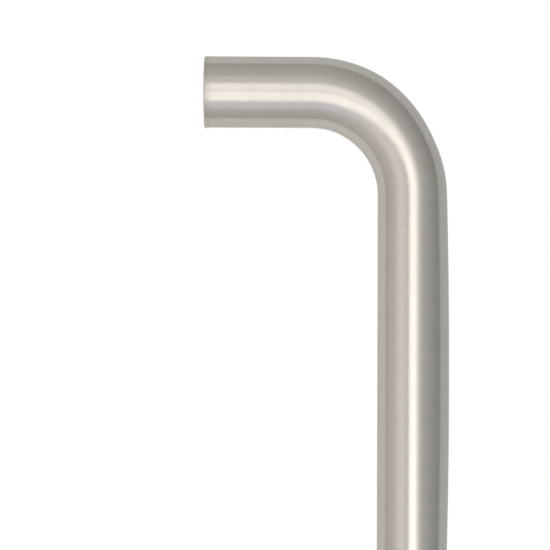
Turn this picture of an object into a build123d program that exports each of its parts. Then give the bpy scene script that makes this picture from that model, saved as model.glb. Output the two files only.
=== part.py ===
from build123d import *
import os
from math import ceil, radians, tan

# A D-shaped pull handle: round steel tube bent to a D, with a tapped plug in each end.
# +Z runs up the grip. The door's face is the plane Y = 0 and the handle stands out towards -Y.
# The origin lies on the door's face, midway between the two fixings.

# Driving dimensions of the tube, in millimetres
fixing_centres = 150.0
projection = 65.0
tube_diameter = 19.0
tube_wall = 1.5
bend_radius = 27.0
end_edge_break = 0.4

# Bending draws the tube's outer side in. Its section stays round for a share of the bend, then the
# depth lost grows to its most at another share, and fades to nothing at the grip's middle.
flattening = 0.97
round_share = 0.25
flattest_share = 0.75
fading_power = 2.3
longest_bay = 11.0

# The plug fills the leg's straight bore but for the setback, which keeps it out of the bend.
# Its blind hole is tapped M8: the wall here is the thread's crest, at the tapping drill's size.
plug_setback = 8.5
plug_edge_break = 0.3
plug_floor = 2.0
thread_crest_diameter = 6.8
thread_mouth_depth = 0.45
drill_point_angle = 118.0

# Worked out from the sizes above
tube_radius = tube_diameter / 2
bore_radius = tube_radius - tube_wall
half_centres = fixing_centres / 2
grip_distance = projection - tube_radius
leg_length = grip_distance - bend_radius
half_grip = half_centres - bend_radius
plug_length = leg_length - plug_setback
thread_radius = thread_crest_diameter / 2
mouth_radius = thread_radius + thread_mouth_depth
drill_point = thread_radius / tan(radians(drill_point_angle / 2))
thread_depth = plug_length - plug_floor - drill_point

# The upper half's centreline beyond the leg: round the bend, then down to the grip's middle
bend_axis = Axis((0, -leg_length, half_grip), (1, 0, 0))
with BuildLine(Plane.YZ):
    bend = CenterArc((-leg_length, half_grip), bend_radius, 90, 90)
    grip = Line((-grip_distance, half_grip), (-grip_distance, 0))

flattened_bend = bend.trim(round_share, 1)
growing_length = (flattest_share - round_share) * bend.length
fading_length = flattened_bend.length + grip.length - growing_length


def depth_lost(distance):
    """How far the outer side is drawn in, at this distance from where the flattening starts."""
    if distance < growing_length:
        grown = distance / growing_length
        return flattening * grown**2 * (3 - 2 * grown)
    return flattening * max(1 - (distance - growing_length) / fading_length, 0) ** fading_power


def bays():
    """Short lengths of the flattened centreline, each with the depth lost at its two ends."""
    distance = 0
    for run in (flattened_bend, grip):
        count = ceil(run.length / longest_bay)
        for number in range(count):
            bay = run.trim(number / count, (number + 1) / count)
            yield bay, (depth_lost(distance), depth_lost(distance + bay.length))
            distance += bay.length


# Grip tube: the upper half's outside and then its bore, each a straight leg, a round stretch of
# bend and bay after bay swept between two ovals, mirrored to the lower half. Each oval keeps the
# side that faces the inside of the bend in place, so only the outer side is flattened.
with BuildPart() as grip_tube:
    for radius, mode in ((tube_radius, Mode.ADD), (bore_radius, Mode.SUBTRACT)):
        with BuildSketch(Plane(origin=(0, 0, half_centres), x_dir=(1, 0, 0), z_dir=(0, -1, 0))):
            Circle(radius)
        extrude(amount=leg_length, mode=mode)
        with BuildSketch(Plane(origin=bend @ 0, x_dir=(1, 0, 0), z_dir=bend % 0)):
            Circle(radius)
        revolve(axis=bend_axis, revolution_arc=90 * round_share, mode=mode)
        for bay, losses in bays():
            for share, lost in enumerate(losses):
                with BuildSketch(Plane(origin=bay @ share, x_dir=(1, 0, 0), z_dir=bay % share)):
                    with Locations((0, -lost / 2)):
                        Ellipse(radius, radius - lost / 2)
            sweep(path=bay, multisection=True, mode=mode)
    end_edges = grip_tube.edges().filter_by(GeomType.CIRCLE).group_by(Axis.Y)[-1]
    chamfer(end_edges.sort_by(SortBy.RADIUS)[-1], end_edge_break)
    mirror(about=Plane.XY)


def end_plug(height):
    """A turned plug with a blind tapped hole, flush with the tube's end at this height."""
    half_section = Plane(origin=(0, 0, height), x_dir=(1, 0, 0), z_dir=(0, 0, -1))
    with BuildPart() as plug:
        with BuildSketch(half_section):
            with BuildLine():
                Polyline(
                    (mouth_radius, 0),
                    (bore_radius - plug_edge_break, 0),
                    (bore_radius, plug_edge_break),
                    (bore_radius, plug_length - plug_edge_break),
                    (bore_radius - plug_edge_break, plug_length),
                    (0, plug_length),
                    (0, thread_depth + drill_point),
                    (thread_radius, thread_depth),
                    (thread_radius, thread_mouth_depth),
                    close=True,
                )
            make_face()
        revolve(axis=Axis((0, 0, height), (0, 1, 0)))
    return plug


upper_end_plug = end_plug(half_centres)
lower_end_plug = end_plug(-half_centres)

os.makedirs("parts", exist_ok=True)
grip_tube.part.label = "grip_tube"
export_step(grip_tube.part, "parts/grip_tube.step")
upper_end_plug.part.label = "upper_end_plug"
export_step(upper_end_plug.part, "parts/upper_end_plug.step")
lower_end_plug.part.label = "lower_end_plug"
export_step(lower_end_plug.part, "parts/lower_end_plug.step")
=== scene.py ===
from math import atan, cos, pi, radians, sin, tan

import bpy
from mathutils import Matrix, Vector


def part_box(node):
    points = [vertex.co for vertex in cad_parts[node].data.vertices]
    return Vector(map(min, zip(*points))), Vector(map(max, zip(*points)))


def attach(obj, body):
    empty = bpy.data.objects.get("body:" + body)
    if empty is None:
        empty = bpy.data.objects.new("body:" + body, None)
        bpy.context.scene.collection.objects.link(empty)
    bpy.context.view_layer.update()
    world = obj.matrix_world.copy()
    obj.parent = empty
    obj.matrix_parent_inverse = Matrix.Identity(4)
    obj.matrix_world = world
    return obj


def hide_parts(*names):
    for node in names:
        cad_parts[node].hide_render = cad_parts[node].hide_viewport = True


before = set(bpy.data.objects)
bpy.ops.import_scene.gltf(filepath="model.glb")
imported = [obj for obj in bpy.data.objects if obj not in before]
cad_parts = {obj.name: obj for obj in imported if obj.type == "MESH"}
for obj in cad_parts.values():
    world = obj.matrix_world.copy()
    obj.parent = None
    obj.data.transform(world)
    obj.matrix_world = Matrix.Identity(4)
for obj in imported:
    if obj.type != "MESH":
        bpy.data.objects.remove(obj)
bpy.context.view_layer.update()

# A D pull handle of bent satin steel tube, seen from the side with its upper end to the left.
# Units are metres. +Z runs up the grip, the door's face is Y = 0 and the handle is at -Y.

MM = 0.001

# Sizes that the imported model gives
tube_low, tube_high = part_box("grip_tube")
plug_low, plug_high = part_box("upper_end_plug")
tube_radius = (tube_high.x - tube_low.x) / 2
bore_radius = (plug_high.x - plug_low.x) / 2
half_centres = tube_high.z - tube_radius
grip_distance = -tube_low.y - tube_radius
plug_length = plug_high.y - plug_low.y

# Driving sizes of the tube, as in the CAD
bend_radius = 27 * MM
end_edge_break = 0.4 * MM
flattening = 0.97 * MM
round_share = 0.25
flattest_share = 0.75
fading_power = 2.3

bend_length = bend_radius * pi / 2
half_grip = half_centres - bend_radius
growing_length = (flattest_share - round_share) * bend_length
fading_length = half_grip + (1 - flattest_share) * bend_length

# The tapped hole in each plug: M8, coarse pitch
thread_crest_radius = 3.4 * MM
thread_root_radius = 4.0 * MM
thread_pitch = 1.25 * MM
thread_root_flat = 0.2 * MM
thread_flank_width = 0.35 * MM
thread_depth = 15.5 * MM
thread_run_out = 1.5 * MM
mouth_radius = 4.25 * MM
drill_point_angle = radians(118)
plug_edge_break = 0.3 * MM

# How finely the pieces are divided
path_step = 0.5 * MM
bend_steps = 90
edge_break_steps = 4
ring_spacing = 1.2 * MM
merge_distance = 0.01 * MM
points_round = 120
rows_per_pitch = 12
sharp_angle = radians(30)


# Building blocks for node trees

def add_node(tree, kind, settings=None, **inputs):
    """Adds a node, sets its options, and links or fills the inputs named in snake_case."""
    node = tree.nodes.new(kind)
    for option, value in (settings or {}).items():
        setattr(node, option, value)
    sockets = {socket.name.lower().replace(" ", "_"): socket for socket in reversed(node.inputs)}
    for name, value in inputs.items():
        fill_socket(tree, sockets[name], value)
    return node


def fill_socket(tree, socket, value):
    """Links a socket to another, or gives it a plain value."""
    if isinstance(value, bpy.types.NodeSocket):
        tree.links.new(value, socket)
    else:
        socket.default_value = value


def calculate(tree, operation, *values, clamp=False):
    """A Math node's result."""
    node = tree.nodes.new("ShaderNodeMath")
    node.operation = operation
    node.use_clamp = clamp
    for socket, value in zip(node.inputs, values):
        fill_socket(tree, socket, value)
    return node.outputs[0]


def calculate_vector(tree, operation, *values, scale=None):
    """A Vector Math node's result."""
    node = tree.nodes.new("ShaderNodeVectorMath")
    node.operation = operation
    for socket, value in zip(node.inputs, values):
        fill_socket(tree, socket, value)
    if scale is not None:
        fill_socket(tree, node.inputs["Scale"], scale)
    return node.outputs["Value" if operation in ("LENGTH", "DOT_PRODUCT") else "Vector"]


def map_range(tree, value, from_range, to_range, smooth=False):
    """The value moved from one range to another, and kept inside it."""
    return add_node(
        tree, "ShaderNodeMapRange", {"interpolation_type": "SMOOTHSTEP" if smooth else "LINEAR"},
        value=value, from_min=from_range[0], from_max=from_range[1],
        to_min=to_range[0], to_max=to_range[1],
    ).outputs[0]


def mix_colours(tree, factor, first, second):
    """A colour between two others."""
    node = add_node(tree, "ShaderNodeMix", {"data_type": "RGBA"}, factor=factor)
    fill_socket(tree, node.inputs[6], first)
    fill_socket(tree, node.inputs[7], second)
    return node.outputs[2]


def mix_shaders(tree, factor, first, second):
    """A shader between two others."""
    node = tree.nodes.new("ShaderNodeMixShader")
    for socket, value in zip(node.inputs, (factor, first, second)):
        fill_socket(tree, socket, value)
    return node.outputs[0]


def capture(tree, geometry, kind, value):
    """Keeps a value on every point. Gives the geometry, and the value as it was."""
    node = add_node(tree, "GeometryNodeCaptureAttribute", {"domain": "POINT"}, geometry=geometry)
    node.capture_items.new(kind, "Kept")
    tree.links.new(value, node.inputs[1])
    return node.outputs[0], node.outputs[1]


# The bent tube: its wall is drawn unrolled, as distance along the tube against radius, turned
# once round, and then laid along the bent path.

TUBE_SIZES = {
    "Grip Distance": grip_distance,
    "Half Centres": half_centres,
    "Bend Radius": bend_radius,
    "Tube Radius": tube_radius,
    "Bore Radius": bore_radius,
    "End Edge Break": end_edge_break,
    "Flattening": flattening,
    "Growing Length": growing_length,
    "Fading Length": fading_length,
    "Fading Power": fading_power,
    "Ring Spacing": ring_spacing,
}


def bent_path(tree, size):
    """The tube's centreline, up from the lower fixing to the upper one."""
    top = size["Half Centres"]
    bottom = calculate(tree, "MULTIPLY", top, -1.0)
    out = calculate(tree, "MULTIPLY", size["Grip Distance"], -1.0)
    square = add_node(tree, "GeometryNodeCurvePrimitiveQuadrilateral", {"mode": "POINTS"})
    for number, (y, z) in enumerate(((0.0, bottom), (out, bottom), (out, top), (0.0, top)), 1):
        corner = add_node(tree, "ShaderNodeCombineXYZ", y=y, z=z)
        fill_socket(tree, square.inputs[f"Point {number}"], corner.outputs[0])
    open_path = add_node(
        tree, "GeometryNodeSetSplineCyclic", geometry=square.outputs[0], cyclic=False
    )
    rounded = add_node(
        tree, "GeometryNodeFilletCurve", {"mode": "POLY"},
        curve=open_path.outputs[0], count=bend_steps, radius=size["Bend Radius"],
    )
    return add_node(
        tree, "GeometryNodeResampleCurve", {"mode": "LENGTH"},
        curve=rounded.outputs[0], length=path_step,
    ).outputs[0]


def wall_outline(tree, size, path_length):
    """The wall, unrolled: a long thin rectangle with broken corners, cut at every ring."""
    wall = calculate(tree, "SUBTRACT", size["Tube Radius"], size["Bore Radius"])
    both_radii = calculate(tree, "ADD", size["Tube Radius"], size["Bore Radius"])
    middle = add_node(
        tree, "ShaderNodeCombineXYZ",
        x=calculate(tree, "MULTIPLY", path_length, 0.5),
        y=calculate(tree, "MULTIPLY", both_radii, 0.5),
    )
    rectangle = add_node(
        tree, "GeometryNodeCurvePrimitiveQuadrilateral", {"mode": "RECTANGLE"},
        width=path_length, height=wall,
    )
    placed = add_node(
        tree, "GeometryNodeSetPosition", geometry=rectangle.outputs[0], offset=middle.outputs[0]
    )
    broken = add_node(
        tree, "GeometryNodeFilletCurve", {"mode": "POLY"},
        curve=placed.outputs[0], count=edge_break_steps, radius=size["End Edge Break"],
    )
    travelled = tree.nodes.new("GeometryNodeSplineParameter").outputs["Length"]
    next_point = calculate(tree, "ADD", tree.nodes.new("GeometryNodeInputIndex").outputs[0], 1.0)
    travelled_next = add_node(
        tree, "GeometryNodeFieldAtIndex", {"data_type": "FLOAT", "domain": "POINT"},
        value=travelled, index=next_point,
    ).outputs[0]
    stretch = calculate(tree, "SUBTRACT", travelled_next, travelled)
    cuts = calculate(tree, "DIVIDE", stretch, size["Ring Spacing"])
    return add_node(
        tree, "GeometryNodeSubdivideCurve", curve=broken.outputs[0], cuts=cuts
    ).outputs[0]


def turned_sheet(tree, size, outline):
    """The outline turned once round, with each point's distance along, radius and angle."""
    position = tree.nodes.new("GeometryNodeInputPosition").outputs[0]
    outline, flat_place = capture(tree, outline, "VECTOR", position)
    turn_line = add_node(tree, "GeometryNodeCurvePrimitiveLine", end=(0, 0, 1))
    turn_steps = add_node(
        tree, "GeometryNodeResampleCurve", {"mode": "COUNT"},
        curve=turn_line.outputs[0], count=calculate(tree, "ADD", size["Points Round"], 1.0),
    )
    factor = tree.nodes.new("GeometryNodeSplineParameter").outputs["Factor"]
    turn, share = capture(tree, turn_steps.outputs[0], "FLOAT", factor)
    sheet = add_node(tree, "GeometryNodeCurveToMesh", curve=turn, profile_curve=outline)
    parts = add_node(tree, "ShaderNodeSeparateXYZ", vector=flat_place).outputs
    angle = calculate(tree, "MULTIPLY", share, 2 * pi)
    return sheet.outputs[0], parts["X"], parts["Y"], angle


def depth_lost(tree, size, path_length, distance):
    """How far the outer side is drawn in: it grows round the bend and fades along the grip."""
    half_length = calculate(tree, "MULTIPLY", path_length, 0.5)
    from_middle = calculate(tree, "ABSOLUTE", calculate(tree, "SUBTRACT", distance, half_length))
    along_grip = calculate(tree, "DIVIDE", from_middle, size["Fading Length"], clamp=True)
    fading = calculate(tree, "POWER", along_grip, size["Fading Power"])
    round_from = calculate(tree, "ADD", size["Fading Length"], size["Growing Length"])
    growing = map_range(
        tree, from_middle, (size["Fading Length"], round_from), (1.0, 0.0), smooth=True
    )
    share = calculate(tree, "MULTIPLY", fading, growing)
    return calculate(tree, "MULTIPLY", share, size["Flattening"])


def tube_tree():
    """The Geometry Nodes tree that makes the bent tube."""
    tree = bpy.data.node_groups.new("bent_tube", "GeometryNodeTree")
    for name in TUBE_SIZES:
        tree.interface.new_socket(name, in_out="INPUT", socket_type="NodeSocketFloat")
    tree.interface.new_socket("Points Round", in_out="INPUT", socket_type="NodeSocketInt")
    tree.interface.new_socket("Finish", in_out="INPUT", socket_type="NodeSocketMaterial")
    tree.interface.new_socket("Geometry", in_out="OUTPUT", socket_type="NodeSocketGeometry")
    size = tree.nodes.new("NodeGroupInput").outputs

    path = bent_path(tree, size)
    path_length = add_node(tree, "GeometryNodeCurveLength", curve=path).outputs[0]
    outline = wall_outline(tree, size, path_length)
    sheet, distance, radius, angle = turned_sheet(tree, size, outline)

    # Laid along the path: outward is the side away from the inside of the bend
    sampled = add_node(
        tree, "GeometryNodeSampleCurve", {"mode": "LENGTH", "use_all_curves": True},
        curves=path, length=distance,
    ).outputs
    along = sampled["Tangent"]
    sideways = (1.0, 0.0, 0.0)
    outward = calculate_vector(tree, "CROSS_PRODUCT", sideways, along)
    round_cos = calculate(tree, "COSINE", angle)
    round_sin = calculate(tree, "SINE", angle)
    spoke = calculate_vector(
        tree, "ADD",
        calculate_vector(tree, "SCALE", outward, scale=round_cos),
        calculate_vector(tree, "SCALE", sideways, scale=round_sin),
    )
    from_path = calculate_vector(tree, "SCALE", spoke, scale=radius)
    round_tube = calculate_vector(tree, "ADD", sampled["Position"], from_path)

    # Flattened: only the outer half is drawn in, and most of all along its middle
    outer_side = calculate(tree, "MAXIMUM", round_cos, 0.0)
    share_lost = calculate(tree, "MULTIPLY", outer_side, outer_side)
    lost = calculate(tree, "MULTIPLY", depth_lost(tree, size, path_length, distance), share_lost)
    inward = calculate(tree, "MULTIPLY", lost, -1.0)
    drawn_in = calculate_vector(tree, "SCALE", outward, scale=inward)
    geometry = add_node(
        tree, "GeometryNodeSetPosition",
        geometry=sheet, position=calculate_vector(tree, "ADD", round_tube, drawn_in),
    ).outputs[0]

    # A UV map of the unrolled tube in metres, and what the finish reads: the place on the tube as
    # if it were straight, and the tube's direction
    unrolled = add_node(
        tree, "ShaderNodeCombineXYZ",
        x=distance, y=calculate(tree, "MULTIPLY", angle, size["Tube Radius"]),
    ).outputs[0]
    straight = add_node(
        tree, "ShaderNodeCombineXYZ", x=distance,
        y=calculate(tree, "MULTIPLY", radius, round_cos),
        z=calculate(tree, "MULTIPLY", radius, round_sin),
    ).outputs[0]
    for name, data_type, domain, value in (
        ("UVMap", "FLOAT2", "CORNER", unrolled),
        ("straight_tube", "FLOAT_VECTOR", "POINT", straight),
        ("tube_direction", "FLOAT_VECTOR", "POINT", along),
    ):
        geometry = add_node(
            tree, "GeometryNodeStoreNamedAttribute", {"data_type": data_type, "domain": domain},
            geometry=geometry, name=name, value=value,
        ).outputs[0]

    closed = add_node(
        tree, "GeometryNodeMergeByDistance", geometry=geometry, distance=merge_distance
    )
    smooth = add_node(tree, "GeometryNodeSetShadeSmooth", geometry=closed.outputs[0])
    realized = add_node(tree, "GeometryNodeRealizeInstances", geometry=smooth.outputs[0])
    finished = add_node(
        tree, "GeometryNodeSetMaterial", geometry=realized.outputs[0], material=size["Finish"]
    )
    output = tree.nodes.new("NodeGroupOutput")
    tree.links.new(finished.outputs[0], output.inputs[0])
    return tree


def bent_tube(name, finish):
    """The whole tube as a plain mesh, made by the tree and then freed from it."""
    tree = tube_tree()
    maker = bpy.data.objects.new("tube_maker", bpy.data.meshes.new("tube_maker"))
    bpy.context.scene.collection.objects.link(maker)
    modifier = maker.modifiers.new("bent_tube", "NODES")
    modifier.node_group = tree
    values = {**TUBE_SIZES, "Points Round": points_round, "Finish": finish}
    for item in tree.interface.items_tree:
        if item.in_out == "INPUT":
            modifier[item.identifier] = values[item.name]
    graph = bpy.context.evaluated_depsgraph_get()
    mesh = bpy.data.meshes.new_from_object(maker.evaluated_get(graph), depsgraph=graph)
    bpy.data.objects.remove(maker)
    return finished_object(name, mesh)


def finished_object(name, mesh):
    """Puts a mesh in the scene under this name."""
    mesh.name = name
    piece = bpy.data.objects.new(name, mesh)
    bpy.context.scene.collection.objects.link(piece)
    return piece


# The plugs: turned on the axis of each leg, with a real thread cut in the blind hole

def limit(value):
    """The value, kept from 0 to 1."""
    return min(max(value, 0.0), 1.0)


def hole_radius(turn, depth):
    """The tapped hole's radius, at this share of a turn and this depth behind the door's face."""
    along_pitch = (depth / thread_pitch + turn) % 1
    from_root = abs(along_pitch - 0.5) * thread_pitch - thread_root_flat / 2
    cut = limit(1 - from_root / thread_flank_width)
    cut *= limit((thread_depth - depth) / thread_run_out)
    thread = thread_crest_radius + cut * (thread_root_radius - thread_crest_radius)
    countersink = mouth_radius - depth
    return max(thread, countersink)


def plug_rings():
    """The plug's rings, from the hole's bottom up its wall and then round the outside. Each is a
    depth, and a function that gives the radius at a share of a turn."""
    row_spacing = thread_pitch / rows_per_pitch
    rows = int(thread_depth / row_spacing)
    depths = [thread_depth - number * row_spacing for number in range(rows)] + [0.0]
    rings = [(depth, lambda turn, depth=depth: hole_radius(turn, depth)) for depth in depths]
    for depth, radius in (
        (0.0, bore_radius - plug_edge_break),
        (plug_edge_break, bore_radius),
        (plug_length - plug_edge_break, bore_radius),
        (plug_length, bore_radius - plug_edge_break),
    ):
        rings.append((depth, lambda turn, radius=radius: radius))
    return rings


def threaded_plug(name, height, finish):
    """A turned plug on the leg's axis at this height, its face flush with the tube's end."""
    rings = plug_rings()
    drill_point = thread_crest_radius / tan(drill_point_angle / 2)
    vertices = [(0.0, -thread_depth - drill_point, height)]
    for depth, radius_at in rings:
        for step in range(points_round):
            turn = step / points_round
            radius = radius_at(turn)
            vertices.append(
                (radius * sin(2 * pi * turn), -depth, height + radius * cos(2 * pi * turn))
            )
    vertices.append((0.0, -plug_length, height))
    last = len(vertices) - 1
    faces = []
    for step in range(points_round):
        here = 1 + step
        beside = 1 + (step + 1) % points_round
        faces.append((0, here, beside))
        for number in range(len(rings) - 1):
            low = number * points_round
            high = low + points_round
            faces.append((low + here, high + here, high + beside, low + beside))
        top = (len(rings) - 1) * points_round
        faces.append((top + here, last, top + beside))
    mesh = bpy.data.meshes.new(name)
    mesh.from_pydata(vertices, [], faces)
    mesh.materials.append(finish)
    mesh.shade_smooth()
    mesh.set_sharp_from_angle(angle=sharp_angle)
    return finished_object(name, mesh)


# Finishes

# Each noise is centred on 0.5, and most of it lies in this range
noise_range = (0.3, 0.7)

# Satin steel: brush marks 0.25 mm wide along the tube and about 8 mm long round it, and wider
# faint bands. Both are given per metre along the tube and across it.
satin_colour = (0.62, 0.59, 0.545)
satin_edge_colour = (0.83, 0.84, 0.84, 1.0)
satin_anisotropy = 0.8
satin_roughness = (0.28, 0.325)
brush_marks_per_metre = (4000.0, 130.0, 130.0)
brush_mark_shade = 0.18
brush_mark_bump = 0.03
bands_per_metre = (420.0, 70.0, 70.0)
band_shade = 0.10
band_roughness = 0.12

# The tube's last millimetres at the door are duller: rougher, and a little darker in colour
dull_end_from = 2.4 * MM
dull_end_full = 0.3 * MM
dull_end_shade = -0.05
dull_end_roughness = 0.08

# Turned steel: feed marks about 0.12 mm apart, a little uneven, and faint blotches
turned_colours = ((0.53, 0.505, 0.47, 1.0), (0.62, 0.592, 0.55, 1.0))
turned_roughness = (0.26, 0.4)
feed_marks_per_metre = 8000.0
feed_mark_bump = 0.25
blotches_per_metre = 350.0

bump_height = 0.02 * MM


def new_material(name):
    """An empty node material, with its shader and output joined."""
    material = bpy.data.materials.new(name)
    material.use_nodes = True
    tree = material.node_tree
    tree.nodes.clear()
    shader = tree.nodes.new("ShaderNodeBsdfPrincipled")
    output = tree.nodes.new("ShaderNodeOutputMaterial")
    tree.links.new(shader.outputs[0], output.inputs[0])
    return material, tree, shader


def stretched_noise(tree, place, per_metre, detail, roughness):
    """A noise with its own scale in each direction."""
    stretched = calculate_vector(tree, "MULTIPLY", place, per_metre)
    return add_node(
        tree, "ShaderNodeTexNoise", vector=stretched, scale=1.0, detail=detail, roughness=roughness
    ).outputs["Fac"]


def vary(tree, noise, amount, base):
    """The base value, made higher and lower by this much of a noise."""
    return calculate(tree, "MULTIPLY_ADD", calculate(tree, "SUBTRACT", noise, 0.5), amount, base)


def satin_steel():
    """Steel tube brushed finely round its length, so that highlights smear along it."""
    material, tree, shader = new_material("satin_steel")
    straight = add_node(tree, "ShaderNodeAttribute", {"attribute_name": "straight_tube"})
    direction_along = add_node(tree, "ShaderNodeAttribute", {"attribute_name": "tube_direction"})
    place = straight.outputs["Vector"]
    brush_marks = stretched_noise(tree, place, brush_marks_per_metre, detail=3.0, roughness=0.6)
    bands = stretched_noise(tree, place, bands_per_metre, detail=2.0, roughness=0.5)
    object_place = add_node(tree, "ShaderNodeTexCoord").outputs["Object"]
    parts = add_node(tree, "ShaderNodeSeparateXYZ", vector=object_place).outputs
    from_door = calculate(tree, "MULTIPLY", parts["Y"], -1.0)
    dull_end = map_range(tree, from_door, (dull_end_full, dull_end_from), (1.0, 0.0), smooth=True)

    roughness = map_range(tree, brush_marks, noise_range, satin_roughness)
    roughness = vary(tree, bands, band_roughness, roughness)
    roughness = calculate(tree, "MULTIPLY_ADD", dull_end, dull_end_roughness, roughness)
    shade = vary(tree, brush_marks, brush_mark_shade, 1.0)
    shade = vary(tree, bands, band_shade, shade)
    shade = calculate(tree, "MULTIPLY_ADD", dull_end, dull_end_shade, shade)
    colour = calculate_vector(tree, "SCALE", satin_colour, scale=shade)
    bump = add_node(
        tree, "ShaderNodeBump", strength=brush_mark_bump, distance=bump_height, height=brush_marks
    )
    fill_socket(tree, shader.inputs["Base Color"], colour)
    fill_socket(tree, shader.inputs["Roughness"], roughness)
    fill_socket(tree, shader.inputs["Normal"], bump.outputs[0])
    fill_socket(tree, shader.inputs["Tangent"], direction_along.outputs["Vector"])
    shader.inputs["Metallic"].default_value = 1.0
    shader.inputs["Anisotropic"].default_value = satin_anisotropy
    shader.inputs["Specular Tint"].default_value = satin_edge_colour
    return material


def turned_steel():
    """Steel faced in the lathe, with fine rings round the axis of each plug."""
    material, tree, shader = new_material("turned_steel")
    place = add_node(tree, "ShaderNodeTexCoord").outputs["Object"]
    parts = add_node(tree, "ShaderNodeSeparateXYZ", vector=place).outputs
    above_axis = calculate(tree, "SUBTRACT", calculate(tree, "ABSOLUTE", parts["Z"]), half_centres)
    across = add_node(tree, "ShaderNodeCombineXYZ", x=parts["X"], z=above_axis).outputs[0]
    from_axis = calculate_vector(tree, "LENGTH", across)
    feed_marks = add_node(
        tree, "ShaderNodeTexNoise", {"noise_dimensions": "1D"},
        w=calculate(tree, "MULTIPLY", from_axis, feed_marks_per_metre), scale=1.0, detail=2.0,
    ).outputs["Fac"]
    blotches = add_node(
        tree, "ShaderNodeTexNoise", vector=place, scale=blotches_per_metre, detail=3.0
    ).outputs["Fac"]
    bump = add_node(
        tree, "ShaderNodeBump", strength=feed_mark_bump, distance=bump_height, height=feed_marks
    )
    roughness = map_range(tree, feed_marks, noise_range, turned_roughness)
    fill_socket(tree, shader.inputs["Base Color"], mix_colours(tree, blotches, *turned_colours))
    fill_socket(tree, shader.inputs["Roughness"], roughness)
    fill_socket(tree, shader.inputs["Normal"], bump.outputs[0])
    shader.inputs["Metallic"].default_value = 1.0
    return material


# The pieces

satin = satin_steel()
turned = turned_steel()

tube = bent_tube("bent_grip_tube", satin)
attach(tube, "root")
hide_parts("grip_tube")

for side, height in (("upper", half_centres), ("lower", -half_centres)):
    plug = threaded_plug(f"{side}_threaded_plug", height, turned)
    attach(plug, "root")
    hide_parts(f"{side}_end_plug")


# Floor, well below the handle, which hangs in the air as it would on a door

floor_place = (0.0, -0.03, -0.26)
floor_radius = 0.4
floor_points = 96
floor_colour = (0.95, 0.965, 0.98, 1.0)
floor_roughness = 0.9

# The background's white, and the shares of the floor's radius between which the floor turns to it
white = (1.0, 1.0, 1.0, 1.0)
rim_shares = (0.3, 0.95)


def floor_paint():
    """Pale matt floor whose rim is as white as the background."""
    material, tree, shader = new_material("floor_paint")
    shader.inputs["Base Color"].default_value = floor_colour
    shader.inputs["Roughness"].default_value = floor_roughness
    place = add_node(tree, "ShaderNodeTexCoord").outputs["Object"]
    from_centre = calculate_vector(tree, "LENGTH", place)
    rim_range = [share * floor_radius for share in rim_shares]
    rim = map_range(tree, from_centre, rim_range, (0.0, 1.0), smooth=True)
    glow = add_node(tree, "ShaderNodeEmission", color=white, strength=1.0)
    seen = mix_shaders(tree, rim, shader.outputs[0], glow.outputs[0])

    # The steel shows the studio behind the floor instead, as in a handle that hangs free
    reflected = tree.nodes.new("ShaderNodeLightPath").outputs["Is Glossy Ray"]
    clear = tree.nodes.new("ShaderNodeBsdfTransparent")
    output = next(node for node in tree.nodes if node.type == "OUTPUT_MATERIAL")
    blend = mix_shaders(tree, reflected, seen, clear.outputs[0])
    tree.links.new(blend, output.inputs[0])
    return material


def round_floor():
    """A flat disc under the handle."""
    angles = [2 * pi * number / floor_points for number in range(floor_points)]
    rim = [(floor_radius * cos(angle), floor_radius * sin(angle), 0.0) for angle in angles]
    mesh = bpy.data.meshes.new("floor")
    mesh.from_pydata(rim, [], [tuple(range(floor_points))])
    mesh.materials.append(floor_paint())
    floor = finished_object("floor", mesh)
    floor.location = floor_place
    return floor


round_floor()


# Camera: almost square to the D, a little low, so that the upper leg falls slightly to the right.
# The picture is square. Its half size and the focal length are in its pixels.

camera_place = Vector((-397.3, -15.0, 17.2)) * MM
camera_turn = radians(-0.563)
camera_tilt = radians(1.362)
camera_roll = radians(-0.24)
half_frame = 275.0
focal_length = 1502.0

camera_data = bpy.data.cameras.new("camera")
camera_data.angle = 2 * atan(half_frame / focal_length)
camera_data.clip_start = 10 * MM
camera = bpy.data.objects.new("camera", camera_data)
camera.location = camera_place
camera.rotation_euler = (radians(90) + camera_tilt, camera_roll, radians(-90) + camera_turn)
bpy.context.scene.collection.objects.link(camera)
bpy.context.scene.camera = camera


# Studio light. Directions are seen from the handle: azimuth 0 is towards the camera, and grows
# to the right of the photograph. Elevation grows upwards.

studio_centre = Vector((0.0, -0.04, 0.03))
lamp_distance = 1.5

# A lamp spreads its watts over four times its area, so this many for each square metre make it
# as bright as the white background
white_lamp_strength = 4.0

warm_white = (1.0, 0.97, 0.95)
cool_white = (0.985, 1.0, 1.0)
blue_white = (0.55, 0.62, 1.0)
lamp_white = (1.0, 0.985, 0.95)

# Name, azimuths, elevations, brightness and colour of each softbox and panel
lamps = (
    ("front_upper_softbox", (-17.0, 6.0), (1.3, 23.5), 0.93, lamp_white),
    ("front_lower_softbox", (-17.0, 6.0), (-33.0, -1.4), 1.12, lamp_white),
    ("right_panel", (6.0, 17.0), (-30.0, 24.0), 0.26, lamp_white),
    ("upper_panel", (-20.0, 11.0), (26.0, 46.0), 0.14, warm_white),
    ("lower_panel", (-20.0, 11.0), (-60.0, -35.0), 0.28, blue_white),
    ("left_panel", (-60.0, -31.0), (-35.0, 35.0), 0.15, warm_white),
    ("back_softbox", (160.0, 188.0), (-20.0, 6.0), 0.7, cool_white),
)

# The studio's own brightness in reflections, by how far a direction points ahead. Straight ahead,
# at this azimuth, is 1 and straight behind is -1. A dark edge stands at the sides, where the grey
# walls meet the brighter cove behind.
studio_azimuth = -7.5
studio_levels = (
    (-1.0, 0.70), (-0.30, 0.68), (-0.135, 0.68), (-0.115, 0.31), (-0.06, 0.35), (-0.02, 0.48),
    (0.1, 0.5), (0.45, 0.57), (0.8, 0.68), (1.0, 0.70),
)

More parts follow.
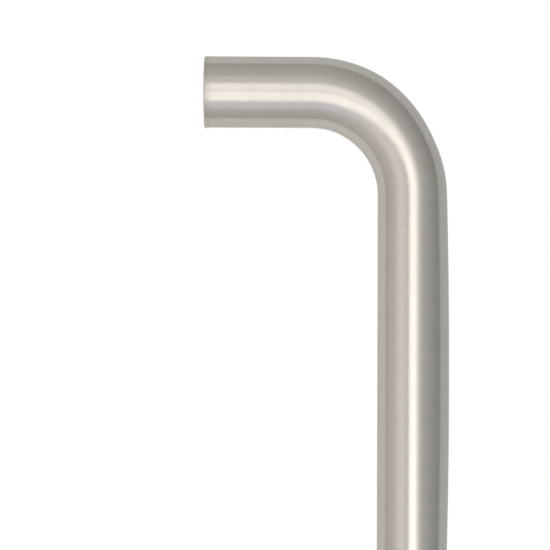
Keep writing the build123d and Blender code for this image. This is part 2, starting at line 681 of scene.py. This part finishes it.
# It is darker to the right, less so behind than in front, and the change lies between these
# values of ahead
wall_corner = (-0.2, -0.1)
darker_to_right = (-0.14, -0.27)

# It is brighter above and below, most of all below
brighter_at_ends = 0.10
brighter_below = -0.05

# The white backdrop fills the far side, and its soft edge lies between these values of ahead
backdrop_edge = (-0.97, -0.99)


def direction(azimuth, elevation):
    """The unit vector at this azimuth and elevation, in degrees."""
    level = cos(radians(elevation))
    return Vector((
        -level * cos(radians(azimuth)),
        -level * sin(radians(azimuth)),
        sin(radians(elevation)),
    ))


def softbox(name, azimuths, elevations, brightness, colour):
    """An evenly lit rectangle that fills these angles, as bright as white paper times brightness."""
    towards = direction(sum(azimuths) / 2, sum(elevations) / 2)
    width = 2 * lamp_distance * tan(radians(azimuths[1] - azimuths[0]) / 2)
    height = 2 * lamp_distance * tan(radians(elevations[1] - elevations[0]) / 2)
    data = bpy.data.lights.new(name, "AREA")
    data.shape = "RECTANGLE"
    data.size = width
    data.size_y = height
    data.energy = brightness * white_lamp_strength * width * height
    data.color = colour
    lamp = bpy.data.objects.new(name, data)
    lamp.location = studio_centre + lamp_distance * towards
    lamp.rotation_euler = towards.to_track_quat("Z", "Y").to_euler()
    lamp.visible_camera = False
    bpy.context.scene.collection.objects.link(lamp)


def studio_world():
    """White behind the handle for every ray that sees it, and a soft grey studio in reflections."""
    world = bpy.data.worlds.new("studio")
    bpy.context.scene.world = world
    world.use_nodes = True
    tree = world.node_tree
    tree.nodes.clear()
    towards = add_node(tree, "ShaderNodeTexCoord").outputs["Generated"]
    parts = add_node(tree, "ShaderNodeSeparateXYZ", vector=towards).outputs
    right = calculate(tree, "MULTIPLY", parts["Y"], -1.0)
    up = parts["Z"]
    straight_ahead = tuple(direction(studio_azimuth, 0.0))
    ahead = calculate_vector(tree, "DOT_PRODUCT", towards, straight_ahead)

    level = tree.nodes.new("ShaderNodeValToRGB")
    ramp = level.color_ramp.elements
    while len(ramp) < len(studio_levels):
        ramp.new(0.5)
    for stop, (place, brightness) in zip(ramp, studio_levels):
        stop.position = (place + 1) / 2
        stop.color = (brightness, brightness, brightness, 1.0)
    fill_socket(tree, level.inputs[0], calculate(tree, "MULTIPLY_ADD", ahead, 0.5, 0.5))

    slope = map_range(tree, ahead, wall_corner, darker_to_right)
    to_side = calculate(tree, "MULTIPLY_ADD", right, slope, 1.0)
    end_slope = calculate(tree, "MULTIPLY_ADD", up, brighter_at_ends, brighter_below)
    to_ends = calculate(tree, "MULTIPLY", end_slope, up)
    share = calculate(tree, "ADD", to_side, to_ends)
    grey = calculate_vector(tree, "SCALE", level.outputs[0], scale=share)
    rightward = calculate(tree, "MULTIPLY_ADD", right, 0.5, 0.5)
    tint = mix_colours(tree, rightward, (*warm_white, 1.0), (*cool_white, 1.0))
    studio = calculate_vector(tree, "MULTIPLY", grey, tint)

    # The camera sees white all round, and the steel sees it where the backdrop is
    backdrop = map_range(tree, ahead, backdrop_edge, (0.0, 1.0), smooth=True)
    ray = tree.nodes.new("ShaderNodeLightPath").outputs
    reflected = calculate(tree, "MAXIMUM", ray["Is Glossy Ray"], ray["Is Transmission Ray"])
    in_backdrop = calculate(tree, "MULTIPLY", reflected, backdrop)
    shown = calculate(tree, "MAXIMUM", ray["Is Camera Ray"], in_backdrop)
    colour = mix_colours(tree, shown, studio, white)
    background = add_node(tree, "ShaderNodeBackground", color=colour, strength=1.0)
    output = tree.nodes.new("ShaderNodeOutputWorld")
    tree.links.new(background.outputs[0], output.inputs[0])


for lamp in lamps:
    softbox(*lamp)
studio_world()
bpy.context.scene.view_settings.view_transform = "Standard"
